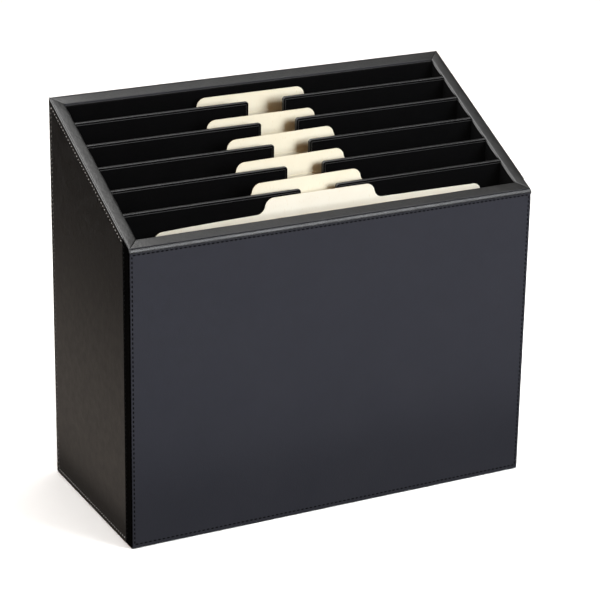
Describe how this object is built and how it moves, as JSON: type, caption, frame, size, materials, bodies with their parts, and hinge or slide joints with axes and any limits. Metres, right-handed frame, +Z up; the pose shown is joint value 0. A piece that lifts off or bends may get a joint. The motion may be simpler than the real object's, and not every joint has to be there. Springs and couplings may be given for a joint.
{
  "type": "desktop file sorter",
  "caption": "Leather-covered desktop file sorter: an open box with a sloping mouth, notched dividers, stepped rows and tabbed manila folders that lift out.",
  "frame": {"origin": "middle of the underside, on the surface that the sorter stands on", "axes": "+X along the width to the right seen from the front, +Y from the low front to the high back, +Z up"},
  "size_m": [0.362, 0.163, 0.3327],
  "materials": {
    "board": "bare fibreboard",
    "leather": "smooth satin, stitched edges",
    "lining": "matt short nap",
    "felt": "matt felt",
    "manila": "matt card",
    "brads": "bright wire"
  },
  "bodies": {
    "case": {"front_board": "board", "back_board": "board", "base_board": "board", "left_side_board": "board", "right_side_board": "board", "base_felt": "felt", "front_cover": "leather", "back_cover": "leather", "left_cover": "leather", "right_cover": "leather", "front_rim": "leather", "right_rim": "leather", "back_rim": "leather", "left_rim": "leather", "front_lining": "lining", "back_lining": "lining", "board_brads": "brads", "left_spacer_1": "lining", "right_spacer_1": "lining", "step_tread_1": "lining", "left_spacer_2": "lining", "right_spacer_2": "lining", "step_tread_2": "lining", "left_spacer_3": "lining", "right_spacer_3": "lining", "step_tread_3": "lining", "left_spacer_4": "lining", "right_spacer_4": "lining", "step_tread_4": "lining", "left_spacer_5": "lining", "right_spacer_5": "lining", "step_tread_5": "lining", "left_spacer_6": "lining", "right_spacer_6": "lining", "step_tread_6": "lining", "divider_1_board": "lining", "divider_1_binding": "leather", "divider_2_board": "lining", "divider_2_binding": "leather", "divider_3_board": "lining", "divider_3_binding": "leather", "divider_4_board": "lining", "divider_4_binding": "leather", "divider_5_board": "lining", "divider_5_binding": "leather"},
    "folder_1": {"folder_1_back_leaf": "manila"},
    "folder_1_front": {"folder_1_front_leaf": "manila"},
    "folder_2": {"folder_2_back_leaf": "manila"},
    "folder_2_front": {"folder_2_front_leaf": "manila"},
    "folder_3": {"folder_3_back_leaf": "manila"},
    "folder_3_front": {"folder_3_front_leaf": "manila"},
    "folder_4": {"folder_4_back_leaf": "manila"},
    "folder_4_front": {"folder_4_front_leaf": "manila"},
    "folder_5": {"folder_5_back_leaf": "manila"},
    "folder_5_front": {"folder_5_front_leaf": "manila"},
    "folder_6": {"folder_6_back_leaf": "manila"},
    "folder_6_front": {"folder_6_front_leaf": "manila"}
  },
  "joints": [
    {"name": "folder_1_lift", "type": "slide", "parent": "case", "child": "folder_1", "axis": [0, 0, 1], "range_m": [0, 0.26]},
    {"name": "folder_1_open", "type": "hinge", "parent": "folder_1", "child": "folder_1_front", "pos_m": [0.0006, -0.04917, 0.02752], "axis": [1, 0, 0], "range_deg": [0, 3.2]},
    {"name": "folder_2_lift", "type": "slide", "parent": "case", "child": "folder_2", "axis": [0, 0, 1], "range_m": [0, 0.26]},
    {"name": "folder_2_open", "type": "hinge", "parent": "folder_2", "child": "folder_2_front", "pos_m": [-0.0068, -0.04132, 0.03812], "axis": [1, 0, 0], "range_deg": [0, 0.6]},
    {"name": "folder_3_lift", "type": "slide", "parent": "case", "child": "folder_3", "axis": [0, 0, 1], "range_m": [0, 0.26]},
    {"name": "folder_3_open", "type": "hinge", "parent": "folder_3", "child": "folder_3_front", "pos_m": [-0.0093, -0.01713, 0.04873], "axis": [1, 0, 0], "range_deg": [0, 0.6]},
    {"name": "folder_4_lift", "type": "slide", "parent": "case", "child": "folder_4", "axis": [0, 0, 1], "range_m": [0, 0.26]},
    {"name": "folder_4_open", "type": "hinge", "parent": "folder_4", "child": "folder_4_front", "pos_m": [-0.0043, 0.01038, 0.05933], "axis": [1, 0, 0], "range_deg": [0, 1.4]},
    {"name": "folder_5_lift", "type": "slide", "parent": "case", "child": "folder_5", "axis": [0, 0, 1], "range_m": [0, 0.26]},
    {"name": "folder_5_open", "type": "hinge", "parent": "folder_5", "child": "folder_5_front", "pos_m": [-0.011, 0.03537, 0.06993], "axis": [1, 0, 0], "range_deg": [0, 1.5]},
    {"name": "folder_6_lift", "type": "slide", "parent": "case", "child": "folder_6", "axis": [0, 0, 1], "range_m": [0, 0.26]},
    {"name": "folder_6_open", "type": "hinge", "parent": "folder_6", "child": "folder_6_front", "pos_m": [-0.0068, 0.06467, 0.08052], "axis": [1, 0, 0], "range_deg": [0, 2.8]}
  ]
}
